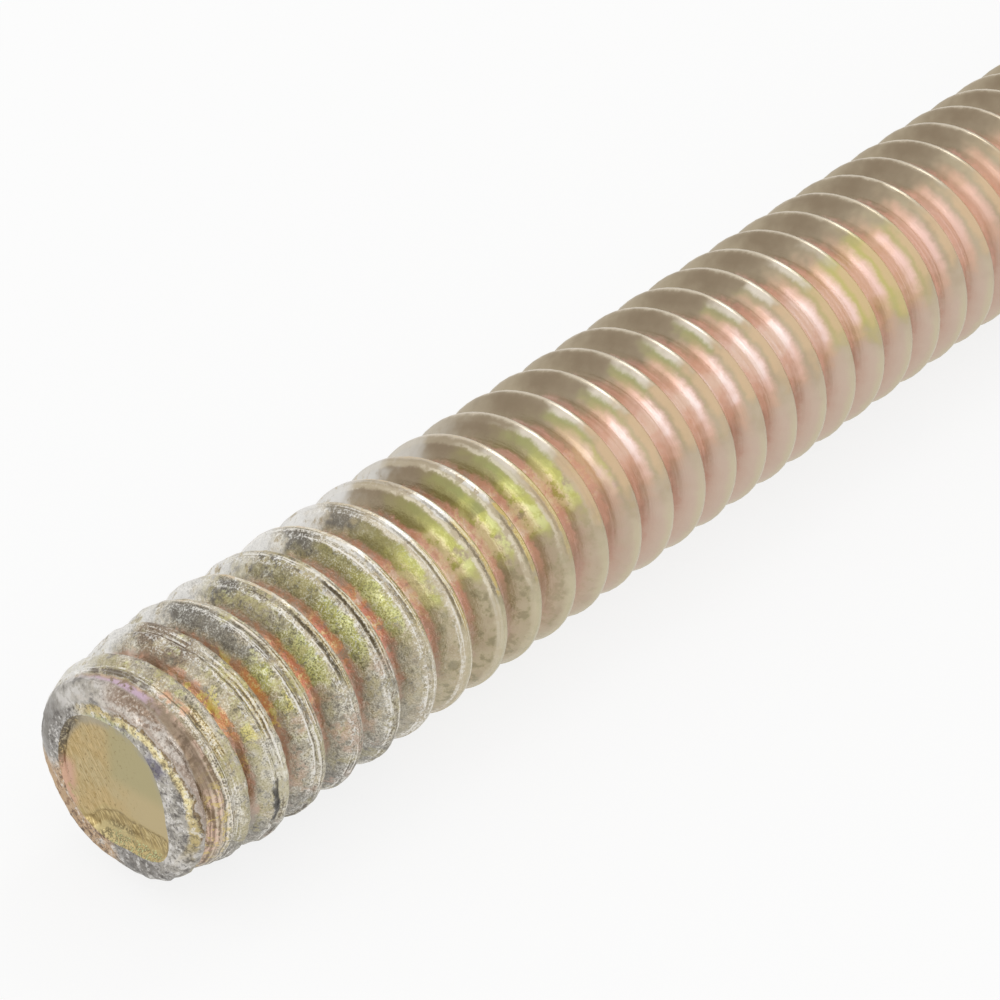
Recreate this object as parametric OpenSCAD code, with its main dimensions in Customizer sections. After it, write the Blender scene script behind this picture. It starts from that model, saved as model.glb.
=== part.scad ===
// Fully threaded rod, lying along X.
// One right-hand rolled thread runs from end to end. Both ends are sheared off square, with the
// edge rolled over into a rim, and the first crests behind a rim are lower than the rest.
// Millimetres, +Z up. The origin is on the rod's axis, halfway along it.

/* [Rod] */
// Length from end face to end face
rod_length = 76.2; // [12.7:0.1:80]

/* [Thread] */
// Diameter over the crests
crest_d = 4.78; // [4.6:0.01:4.83]
// Diameter at the roots
root_d = 3.64; // [3.4:0.01:3.8]
// Turns in each inch of length
turns_per_inch = 24; // [18:1:24]
// Width of the flat along a crest
crest_flat = 0.3; // [0.08:0.01:0.35]
// Width of the flat along a root, which leaves about 60 degrees between the flanks
root_flat = 0.11; // [0.08:0.01:0.3]
// Angle, from +Y towards +Z, at which a crest starts at the end face at -X
start_angle = 236; // [0:1:359]

/* [Ends] */
// Diameter of the sheared end faces
end_face_d = 2.94; // [2.6:0.01:3.4]
// Diameter over the rolled rim behind an end face
rim_d = 3.9; // [3.7:0.01:4.4]
// Distance from an end face to the top of its rim
rim_length = 0.2; // [0.15:0.01:0.4]
// Distance from an end face to the first full crest
lead_in_length = 1.6; // [1:0.1:4]

/* [Facets] */
// Sides that stand for the round outline
sides = 20; // [12:4:20]
// Steps that round each rim
rim_steps = 2; // [1:1:3]

/* [Hidden] */

inch = 25.4;
pitch = inch / turns_per_inch;

// Flats of the sides lie on the true diameter, so a corner is this much further out
corner_factor = 1 / cos(180 / sides);

// One crest and one groove: distance along the axis from the middle of the crest, and diameter
flank_length = (pitch - crest_flat - root_flat) / 2;
PROFILE = [
    [-crest_flat / 2, crest_d],
    [crest_flat / 2, crest_d],
    [crest_flat / 2 + flank_length, root_d],
    [pitch - crest_flat / 2 - flank_length, root_d],
];
corners = len(PROFILE);

// Largest diameter of the thread at a distance from the nearer end face
LEAD_IN = [
    [rim_length, rim_d],
    [lead_in_length, crest_d],
];

// The helix starts before one end face and stops past the other, on every side
spare_turns = 2;
turns = ceil(rod_length / pitch) + 2 * spare_turns + 1;
rows = turns * corners;

// Rings of corners make the two ends: the end face first, then the steps out to the rim's top
NEAR = 0;
FAR = 1;
first_ring = rows * sides;

function side_angle(side) = 360 * (side + 0.5) / sides;

function point_at(position, diameter, side) = [
    position - rod_length / 2,
    diameter / 2 * corner_factor * cos(side_angle(side)),
    diameter / 2 * corner_factor * sin(side_angle(side)),
];

// Where a row of the helix lies on one side, from the end face at -X
function helix_position(row, side) =
    PROFILE[row % corners][0]
    + pitch * (floor(row / corners) - spare_turns + (side_angle(side) - start_angle) / 360);

function helix_point(row, side) =
    let (
        position = helix_position(row, side),
        limit = lookup(min(position, rod_length - position), LEAD_IN)
    )
    point_at(position, min(PROFILE[row % corners][1], limit), side);

function ring_point(end, step, side) =
    let (
        turned = 90 * step / rim_steps,
        inward = rim_length * (1 - cos(turned)),
        diameter = end_face_d + (rim_d - end_face_d) * sin(turned)
    )
    point_at(end == NEAR ? inward : rod_length - inward, diameter, side);

function ring_corner(end, step, side) =
    first_ring + (end * (rim_steps + 1) + step) * sides + side % sides;

// Corners that would lie past a rim's top share the corner there instead
function helix_corner(row, side) =
    side == sides ? helix_corner(row + corners, 0)
    : helix_position(row, side) <= rim_length ? ring_corner(NEAR, rim_steps, side)
    : helix_position(row, side) >= rod_length - rim_length ? ring_corner(FAR, rim_steps, side)
    : row * sides + side;

function is_triangle(t) = t[0] != t[1] && t[1] != t[2] && t[2] != t[0];

// Corners run clockwise as seen from outside the rod
function triangles(a, b, c, d) = [for (t = [[a, c, b], [a, d, c]]) if (is_triangle(t)) t];

module threaded_rod() {
    helix_points = [
        for (row = [0 : rows - 1]) for (side = [0 : sides - 1]) helix_point(row, side)
    ];
    ring_points = [
        for (end = [NEAR, FAR]) for (step = [0 : rim_steps]) for (side = [0 : sides - 1])
            ring_point(end, step, side)
    ];
    thread_faces = [
        for (row = [0 : rows - 2]) for (side = [0 : sides - 1]) each triangles(
            helix_corner(row, side), helix_corner(row, side + 1),
            helix_corner(row + 1, side + 1), helix_corner(row + 1, side)
        )
    ];
    rim_faces = [
        for (step = [0 : rim_steps - 1]) for (side = [0 : sides - 1]) each concat(
            triangles(
                ring_corner(NEAR, step, side), ring_corner(NEAR, step, side + 1),
                ring_corner(NEAR, step + 1, side + 1), ring_corner(NEAR, step + 1, side)
            ),
            triangles(
                ring_corner(FAR, step + 1, side), ring_corner(FAR, step + 1, side + 1),
                ring_corner(FAR, step, side + 1), ring_corner(FAR, step, side)
            )
        )
    ];
    end_faces = [
        [for (side = [0 : sides - 1]) ring_corner(NEAR, 0, side)],
        [for (side = [sides - 1 : -1 : 0]) ring_corner(FAR, 0, side)],
    ];
    color("#A89C78")
    polyhedron(
        points = concat(helix_points, ring_points),
        faces = concat(thread_faces, rim_faces, end_faces),
        convexity = 10
    );
}

threaded_rod();
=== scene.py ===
"""Looks of a yellow-chromated threaded rod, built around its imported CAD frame.

The rod lies along X, and its sheared end at -X faces the camera. One mesh stands for the CAD
solid: the same right-hand thread at the same sizes, with its crests, rims and end faces finished.
"""

import logging
import math
from dataclasses import dataclass
from enum import Enum
from typing import Any

import bmesh
import bpy
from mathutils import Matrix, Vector, noise


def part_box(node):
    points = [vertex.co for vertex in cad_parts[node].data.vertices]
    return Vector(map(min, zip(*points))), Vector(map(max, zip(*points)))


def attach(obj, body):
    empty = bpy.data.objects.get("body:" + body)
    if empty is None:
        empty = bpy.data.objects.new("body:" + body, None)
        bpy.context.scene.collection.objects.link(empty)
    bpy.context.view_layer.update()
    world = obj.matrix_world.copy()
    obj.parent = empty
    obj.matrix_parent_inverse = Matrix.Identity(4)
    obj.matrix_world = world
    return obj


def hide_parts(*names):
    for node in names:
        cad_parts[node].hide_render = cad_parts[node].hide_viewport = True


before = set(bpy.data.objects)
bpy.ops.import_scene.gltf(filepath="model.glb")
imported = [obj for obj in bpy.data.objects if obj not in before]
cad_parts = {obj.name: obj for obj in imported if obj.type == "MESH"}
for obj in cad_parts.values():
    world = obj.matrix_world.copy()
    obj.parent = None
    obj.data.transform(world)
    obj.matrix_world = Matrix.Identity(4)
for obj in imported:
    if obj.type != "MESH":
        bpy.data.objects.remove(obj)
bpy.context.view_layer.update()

NODE = "threaded_rod"
BODY = "root"
MM = 0.001
INCH = 25.4

log = logging.getLogger("threaded_rod")


def linear(code: str) -> tuple[float, float, float, float]:
    """Turn an sRGB colour into the linear values that shaders use.

    Args:
        code: the colour as six hex digits after a hash sign.

    Returns:
        Red, green, blue and a full alpha.
    """
    channels = [int(code[i : i + 2], 16) / 255 for i in (1, 3, 5)]
    red, green, blue = [
        c / 12.92 if c <= 0.04045 else ((c + 0.055) / 1.055) ** 2.4 for c in channels
    ]
    return red, green, blue, 1.0


def ramp(value: float, start: float, end: float) -> float:
    """Rise smoothly from 0 at start to 1 at end.

    Args:
        value: where to read the ramp.
        start: the value up to which the ramp is 0.
        end: the value from which the ramp is 1; it may be below start.

    Returns:
        A number from 0 to 1.
    """
    share = min(1.0, max(0.0, (value - start) / (end - start)))
    return share * share * (3 - 2 * share)


def soft_min(a: float, b: float, blend: float) -> float:
    """Take the smaller of two lengths, with the corner between them rounded.

    Args:
        a: one length.
        b: the other length.
        blend: how far apart the lengths are where the rounding ends.

    Returns:
        The smaller length, or a little less near the corner.
    """
    near = max(blend - abs(a - b), 0.0) / blend
    return min(a, b) - near * near * blend / 4


class NodeSheet:
    """The nodes of one material or world."""

    def __init__(self, tree: bpy.types.NodeTree) -> None:
        """Start with an empty tree."""
        tree.nodes.clear()
        self.tree = tree

    def add(
        self,
        kind: str,
        inputs: dict[int | str, Any] | None = None,
        **settings: Any,
    ) -> bpy.types.Node:
        """Add one node.

        Args:
            kind: the node's type name.
            inputs: for each input, by name or number, the socket that feeds it or its value.
            settings: properties of the node.

        Returns:
            The new node.
        """
        node = self.tree.nodes.new(kind)
        for name, value in settings.items():
            setattr(node, name, value)
        for key, value in (inputs or {}).items():
            if isinstance(value, bpy.types.NodeSocket):
                self.tree.links.new(value, node.inputs[key])
            else:
                node.inputs[key].default_value = value
        return node


class End(Enum):
    """The rod's two ends, by their direction along X."""

    SHOWN = -1
    FAR = 1


def swell(angle: float, centre: float, reach: float) -> float:
    """Rise smoothly round one side of the rod.

    Args:
        angle: where to read the swell, in radians from +Y towards +Z.
        centre: where it is highest, in degrees.
        reach: how far from there it ends, in degrees.

    Returns:
        1 at the centre, falling to 0.
    """
    turned = math.degrees(angle) - centre
    distance = abs((turned + 180) % 360 - 180)
    return ramp(distance, reach, 0.0)


@dataclass(frozen=True)
class RolledThread:
    """The form of the rolled thread, in millimetres from the shown end face.

    The first turns are not filled: their crests are low and broad, with a wide seam between two
    lobes. Further along the lobes close up and leave a fine seam. The rolled rim is thin on the
    lower left, where the shear pulled the face down.
    """

    length: float
    crest_radius: float
    pitch: float = INCH / 24
    root_radius: float = 1.82
    crest_flat: float = 0.3
    root_flat: float = 0.11
    start_angle: float = math.radians(236)
    face_radius: float = 1.36
    rim_radius: float = 1.94
    rim_length: float = 0.2
    rim_fall: float = 0.2
    lead_in_radius: float = 2.02
    lead_in_length: float = 1.9
    near_shoulder_drop: float = 0.06
    near_blend: float = 0.3
    far_blend: float = 0.14
    root_blend: float = 0.14

    def place(self, along: float, angle: float) -> tuple[float, float]:
        """Say where a point lies across and along the thread.

        Args:
            along: distance from the shown end face.
            angle: angle round the axis, from +Y towards +Z.

        Returns:
            The distance along X from the middle of the nearest crest, in pitches from -0.5 to
            0.5, and how many turns along the thread that crest is.
        """
        turns = along / self.pitch - (angle - self.start_angle) / math.tau
        across = turns - math.floor(turns + 0.5)
        return across, along / self.pitch - across

    def face_edge(self, angle: float) -> float:
        """Return how far the flat face reaches at an angle round the axis."""
        pulled = 0.3 * swell(angle, 224, 38) + 0.08 * swell(angle, 50, 40)
        return self.face_radius + pulled - 0.08 * swell(angle, 165, 45)

    def rim(self, edge: float, angle: float) -> float:
        """Give the radius of the rolled rim.

        Args:
            edge: distance from the nearer end face.
            angle: angle round the axis.

        Returns:
            The rim's radius, which drops below the root behind the rim.
        """
        lump = noise.noise(Vector((2.6 * math.cos(angle), 2.6 * math.sin(angle), 5.0)))
        dent = noise.noise(Vector((9.0 * math.cos(angle), 9.0 * math.sin(angle), 4.0 * edge)))
        top = self.rim_radius + 0.06 * lump + 0.065 * dent + 0.12 * swell(angle, 246, 40)
        top += 0.12 * swell(angle, 60, 45) - 0.48 * swell(angle, 308, 62)
        face = self.face_edge(angle)
        if edge < self.rim_length:
            rise = math.sqrt(max(0.0, 1 - (1 - edge / self.rim_length) ** 2))
            return face + (top - face) * rise
        fall = ramp(edge, self.rim_length, self.rim_length + self.rim_fall)
        return top + (self.root_radius - 0.05 - top) * fall

    def radius(self, along: float, angle: float) -> float:
        """Give the thread's radius at a point.

        Args:
            along: distance from the shown end face.
            angle: angle round the axis, from +Y towards +Z.

        Returns:
            The radius, never above that of the crests.
        """
        edge = min(along, self.length - along)
        if edge < self.rim_length:
            return self.rim(edge, angle)
        across, turn = self.place(along, angle)
        from_end = min(turn, self.length / self.pitch - turn)
        offset = abs(across) * self.pitch
        spread = self.pitch * 0.13 * ramp(from_end, 3.6, 0.4)
        slope = (self.crest_radius - self.root_radius) / (
            (self.pitch - self.crest_flat - self.root_flat) / 2
        )
        lead = min(1.0, (edge - self.rim_length) / self.lead_in_length)
        top = self.lead_in_radius + (self.crest_radius - self.lead_in_radius) * math.sqrt(lead)
        top -= self.near_shoulder_drop * ramp(across, 0.02, -0.16)
        flank = self.crest_radius - slope * (offset - self.crest_flat / 2 - spread)
        blend = self.near_blend if across < 0 else self.far_blend
        shape = -soft_min(-self.root_radius, -soft_min(top, flank, blend), self.root_blend)
        rough = self.roughness(along, angle, from_end)
        groove = self.seam(across, turn, from_end)
        solid = max(shape + rough - groove, self.rim(edge, angle))
        return min(solid, self.crest_radius)

    def seam(self, across: float, turn: float, from_end: float) -> float:
        """Give the depth of the seam that rolling leaves along a crest.

        Args:
            across: distance along X from the middle of the crest, in pitches.
            turn: turns along the thread.
            from_end: turns from the nearer end.

        Returns:
            The depth in millimetres.
        """
        half_width = 0.035 + 0.1 * ramp(from_end, 3.8, 0.6)
        shift = 0.09 * ramp(from_end, 3.0, 0.5) - 0.04
        depth = 0.006 + 0.04 * ramp(from_end, 12.0, 5.0) + 0.1 * ramp(from_end, 3.5, 0.6)
        drift = 0.6 + 0.8 * noise.noise(Vector((turn * 2.3, 0.0, 7.0)))
        return depth * max(0.1, drift) * ramp(abs(across - shift), half_width, 0.0)

    def roughness(self, along: float, angle: float, from_end: float) -> float:
        """Give the lumps that rolling and plating leave, larger on the first turns.

        Args:
            along: distance from the shown end face.
            angle: angle round the axis.
            from_end: turns from the nearer end.

        Returns:
            A height in millimetres, above or below the true form.
        """
        point = Vector((along, 2.4 * math.cos(angle), 2.4 * math.sin(angle)))
        broad = noise.noise(point * 1.1)
        fine = noise.noise(point * 4.3)
        near = ramp(from_end, 9.0, 1.0)
        return broad * (0.006 + 0.03 * near) + fine * (0.002 + 0.028 * near) - 0.01


@dataclass(frozen=True)
class ShearedEnd:
    """The relief of a sheared end face, in millimetres.

    The shear has burnished the upper part flat. Below the break line the steel tore off and left
    a lower, rough segment, and on the left the rim has rolled over the face and left a gap.
    """

    thread: RolledThread
    recess: float = 0.012
    edge_width: float = 0.1
    dish: float = 0.015
    break_height: float = -0.62
    break_width: float = 0.1
    break_depth: float = 0.07
    tear: float = 0.05
    gap_depth: float = 0.1
    gap_width: float = 0.2

    def depth(self, y: float, z: float) -> float:
        """Say how far the face lies behind its rim.

        Args:
            y: distance from the axis along Y.
            z: distance from the axis along Z.

        Returns:
            The depth in millimetres, 0 at the rim.
        """
        angle = math.atan2(z, y)
        inward = self.thread.face_edge(angle) - math.hypot(y, z)
        wander = 0.14 * noise.noise(Vector((y * 2.2, z * 0.6, 3.0)))
        line = self.break_height - 0.4 * ramp(y, 0.2, 0.75)
        torn = ramp(z + wander, line, line - self.break_width)
        grain = noise.noise(Vector((y * 9.0, z * 2.5, 1.0)))
        rough = (self.tear * grain + self.break_depth) * torn
        hollow = self.recess + self.dish * min(1.0, max(0.0, inward))
        gap = self.gap_depth * swell(angle, 18, 60) * ramp(inward, self.gap_width, 0.05)
        return (hollow + rough + gap) * ramp(inward, 0.0, self.edge_width)


@dataclass
class RodMesh:
    """The rod as one closed mesh whose edges follow the thread.

    The mesh is made in millimetres, with X measured from the shown end face, and ends in the
    row frame in metres.
    """

    thread: RolledThread
    end: ShearedEnd
    steps_per_turn: int = 56
    spare_turns: int = 2
    fine_turns: int = 10
    shown_grid: float = 0.06
    far_grid: float = 0.14
    merge_distance: float = 0.004
    sharp_angle: float = math.radians(50)
    across: tuple[float, ...] = (
        -0.5, -0.4, -0.31, -0.24, -0.17, -0.11, -0.065, -0.03,
        0.0, 0.03, 0.065, 0.11, 0.17, 0.26, 0.38, 0.5,
    )

    def build(self, centre: Vector) -> bpy.types.Object:
        """Make the rod.

        Args:
            centre: the middle of the rod's axis in the row frame, in metres.

        Returns:
            The rod's object, at the origin, with its place in its mesh.
        """
        shape = bmesh.new()
        self.spin_thread(shape)
        faces = [self.cut_end(shape, end) for end in End]
        self.refine_near_turns(shape)
        self.form_surface(shape)
        for end, face in zip(End, faces):
            self.form_end_face(shape, end, face)
        self.finish_faces(shape)
        bmesh.ops.scale(shape, vec=(MM, MM, MM), verts=shape.verts)
        start = centre - Vector((self.thread.length * MM / 2, 0, 0))
        bmesh.ops.translate(shape, vec=start, verts=shape.verts)
        mesh = bpy.data.meshes.new("rod_thread")
        shape.to_mesh(mesh)
        shape.free()
        rod = bpy.data.objects.new("rod_thread", mesh)
        bpy.context.scene.collection.objects.link(rod)
        return rod

    def spin_thread(self, shape: bmesh.types.BMesh) -> None:
        """Spin one pitch of the profile along the helix, past both ends of the rod."""
        thread = self.thread
        turns = math.ceil(thread.length / thread.pitch) + 2 * self.spare_turns
        angle = thread.start_angle
        start = -self.spare_turns * thread.pitch
        corners = [
            shape.verts.new(
                (
                    start + across * thread.pitch,
                    thread.crest_radius * math.cos(angle),
                    thread.crest_radius * math.sin(angle),
                )
            )
            for across in self.across
        ]
        edges = [shape.edges.new(pair) for pair in zip(corners, corners[1:])]
        bmesh.ops.spin(
            shape,
            geom=[*corners, *edges],
            cent=(0, 0, 0),
            axis=(1, 0, 0),
            dvec=(thread.pitch / self.steps_per_turn, 0, 0),
            angle=math.tau,
            steps=self.steps_per_turn,
            use_merge=False,
        )
        one_turn = [*shape.verts, *shape.edges, *shape.faces]
        for number in range(1, turns):
            copied = bmesh.ops.duplicate(shape, geom=one_turn)["geom"]
            moved = [item for item in copied if isinstance(item, bmesh.types.BMVert)]
            bmesh.ops.translate(shape, vec=(number * thread.pitch, 0, 0), verts=moved)
        bmesh.ops.remove_doubles(shape, verts=shape.verts, dist=self.merge_distance)

    def cut_end(self, shape: bmesh.types.BMesh, end: End) -> list[bmesh.types.BMFace]:
        """Cut the thread off square at one end, ring the rim with edges and close the end.

        Args:
            shape: the thread, which runs past the end.
            end: which end to cut.

        Returns:
            The faces of the end's flat disc.
        """
        thread = self.thread
        place = 0.0 if end is End.SHOWN else thread.length
        everything = [*shape.verts, *shape.edges, *shape.faces]
        cut = bmesh.ops.bisect_plane(
            shape,
            geom=everything,
            plane_co=(place, 0, 0),
            plane_no=(end.value, 0, 0),
            clear_outer=True,
        )
        rim_edges = [e for e in cut["geom_cut"] if isinstance(e, bmesh.types.BMEdge)]
        for share in (0.12, 0.3, 0.55, 0.8, 1.0, 1.4, 1.85):
            ring = place - end.value * share * thread.rim_length
            near = [
                f for f in shape.faces
                if abs(f.calc_center_median().x - ring) < thread.pitch / 2
            ]
            geometry = {item for f in near for item in (f, *f.edges, *f.verts)}
            bmesh.ops.bisect_plane(
                shape, geom=list(geometry), plane_co=(ring, 0, 0), plane_no=(1, 0, 0)
            )
        filled = bmesh.ops.contextual_create(shape, geom=rim_edges)
        return filled["faces"]

    def refine_near_turns(self, shape: bmesh.types.BMesh) -> None:
        """Halve the steps on the turns nearest the shown end, where most detail shows."""
        limit = self.fine_turns * self.thread.pitch
        edges = [
            e for e in shape.edges
            if all(self.thread.rim_length / 2 < v.co.x < limit for v in e.verts)
        ]
        bmesh.ops.subdivide_edges(shape, edges=edges, cuts=1, use_grid_fill=True)

    def form_surface(self, shape: bmesh.types.BMesh) -> None:
        """Move every corner in or out to the thread's form."""
        for vert in shape.verts:
            along = min(max(vert.co.x, 0.0), self.thread.length)
            angle = math.atan2(vert.co.z, vert.co.y)
            radius = self.thread.radius(along, angle)
            vert.co = (along, radius * math.cos(angle), radius * math.sin(angle))

    def form_end_face(
        self, shape: bmesh.types.BMesh, end: End, faces: list[bmesh.types.BMFace]
    ) -> None:
        """Give an end's disc a grid of corners and press its relief into it.

        Args:
            shape: the whole rod.
            end: which end the disc closes.
            faces: the disc's faces.
        """
        grid = self.shown_grid if end is End.SHOWN else self.far_grid
        cuts = math.ceil(self.thread.rim_radius / grid)
        for normal in (Vector((0, 1, 0)), Vector((0, 0, 1))):
            for number in range(-cuts, cuts + 1):
                geometry = {item for f in faces for item in (f, *f.edges, *f.verts)}
                cut = bmesh.ops.bisect_plane(
                    shape,
                    geom=list(geometry),
                    plane_co=normal * (number + 0.5) * grid,
                    plane_no=normal,
                )
                faces = [f for f in cut["geom"] if isinstance(f, bmesh.types.BMFace)]
        for vert in {v for f in faces for v in f.verts}:
            vert.co.x -= end.value * self.end.depth(vert.co.y, vert.co.z)
        for face in faces:
            face.material_index = 1

    def finish_faces(self, shape: bmesh.types.BMesh) -> None:
        """Make triangles, turn them outwards and shade them smooth up to the sharp edges."""
        bmesh.ops.remove_doubles(shape, verts=shape.verts, dist=self.merge_distance / 8)
        bmesh.ops.triangulate(shape, faces=shape.faces)
        bmesh.ops.recalc_face_normals(shape, faces=shape.faces)
        for face in shape.faces:
            face.smooth = True
        for edge in shape.edges:
            edge.smooth = edge.calc_face_angle(0.0) < self.sharp_angle


@dataclass(frozen=True)
class Pattern:
    """A noise pattern with blotches of a real size, in millimetres.

    The blotches are longer along X, Y and Z by the factors in longer, and lie turned about X.
    """

    size: float
    detail: float = 3.0
    roughness: float = 0.5
    longer: tuple[float, float, float] = (1.0, 1.0, 1.0)
    turned: float = 0.0


@dataclass(frozen=True)
class Band:
    """A soft step on a measure of the surface: 0 at start and 1 at end."""

    measure: str
    start: float
    end: float


@dataclass(frozen=True)
class Coat:
    """A colour, the bands whose product says where it lies, and how much of it there is."""

    colour: str
    bands: tuple[Band, ...]
    share: float = 1.0


@dataclass(frozen=True)
class LayeredFinish:
    """A metal finish whose colours lie in layers, each where its bands put it."""

    def patterns(
        self, sheet: NodeSheet, place: bpy.types.NodeSocket, table: dict[str, Pattern]
    ) -> dict[str, bpy.types.NodeSocket]:
        """Add the noise patterns.

        Args:
            sheet: the material's nodes.
            place: the place on the surface, in millimetres.
            table: the patterns by name.

        Returns:
            The value of each pattern, by name.
        """
        made = {}
        for name, pattern in table.items():
            blotch = [pattern.size * share for share in pattern.longer]
            drawn = sheet.add(
                "ShaderNodeMapping",
                {"Vector": place, "Rotation": (pattern.turned, 0.0, 0.0), "Scale": blotch},
                vector_type="TEXTURE",
            ).outputs[0]
            made[name] = sheet.add(
                "ShaderNodeTexNoise",
                {
                    "Vector": drawn,
                    "Scale": 1.0,
                    "Detail": pattern.detail,
                    "Roughness": pattern.roughness,
                },
            ).outputs[0]
        return made

    def mask(
        self,
        sheet: NodeSheet,
        measures: dict[str, bpy.types.NodeSocket],
        bands: tuple[Band, ...],
        share: float = 1.0,
    ) -> bpy.types.NodeSocket:
        """Multiply soft steps into one mask.

        Args:
            sheet: the material's nodes.
            measures: the measures that the bands read, by name.
            bands: the soft steps.
            share: the mask's highest value.

        Returns:
            The mask.
        """
        product: bpy.types.NodeSocket | float = share
        for band in bands:
            product = sheet.add(
                "ShaderNodeMapRange",
                {
                    "Value": measures[band.measure],
                    "From Min": band.start,
                    "From Max": band.end,
                    "To Max": product,
                },
                interpolation_type="SMOOTHSTEP",
            ).outputs[0]
        return product

    def paint(
        self,
        sheet: NodeSheet,
        measures: dict[str, bpy.types.NodeSocket],
        base: str,
        coats: tuple[Coat, ...],
    ) -> bpy.types.NodeSocket:
        """Lay the coats over the base colour, one after another.

        Args:
            sheet: the material's nodes.
            measures: the measures that the coats read, by name.
            base: the colour under all coats.
            coats: the coats from the lowest to the highest.

        Returns:
            The colour.
        """
        colour: Any = linear(base)
        for coat in coats:
            mask = self.mask(sheet, measures, coat.bands, coat.share)
            colour = sheet.add(
                "ShaderNodeMix", {0: mask, 6: colour, 7: linear(coat.colour)}, data_type="RGBA"
            ).outputs[2]
        return colour


# Bands that several coats share. Round is in degrees from the side that faces the camera,
# above it negative. Across is in pitches from the middle of a crest, and below 0 on the flank
# that faces the shown end.
BEHIND_RIM = Band("from_end", 0.3, 0.42)
# Where the light falls on the side that faces the camera: coats in this band are painted light
LIT = (Band("round", -26, -12), Band("round", 24, 12))
GROOVE = (Band("across", -0.33, -0.38), BEHIND_RIM)
FLANK = (Band("across", -0.38, -0.33), Band("across", -0.08, -0.14))
RIDGE = (Band("across", 0.0, 0.03), Band("across", 0.17, 0.13), BEHIND_RIM)
ON_RIM = Band("from_end", 0.34, 0.26)
# The lower side, painted paler as a reflection of the floor
BELOW = Band("round", 14, 34)
FROSTED = (Band("flake", 0.38, 0.5), Band("from_end", 7.5, 4.5), Band("across", -0.4, -0.33))


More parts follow.
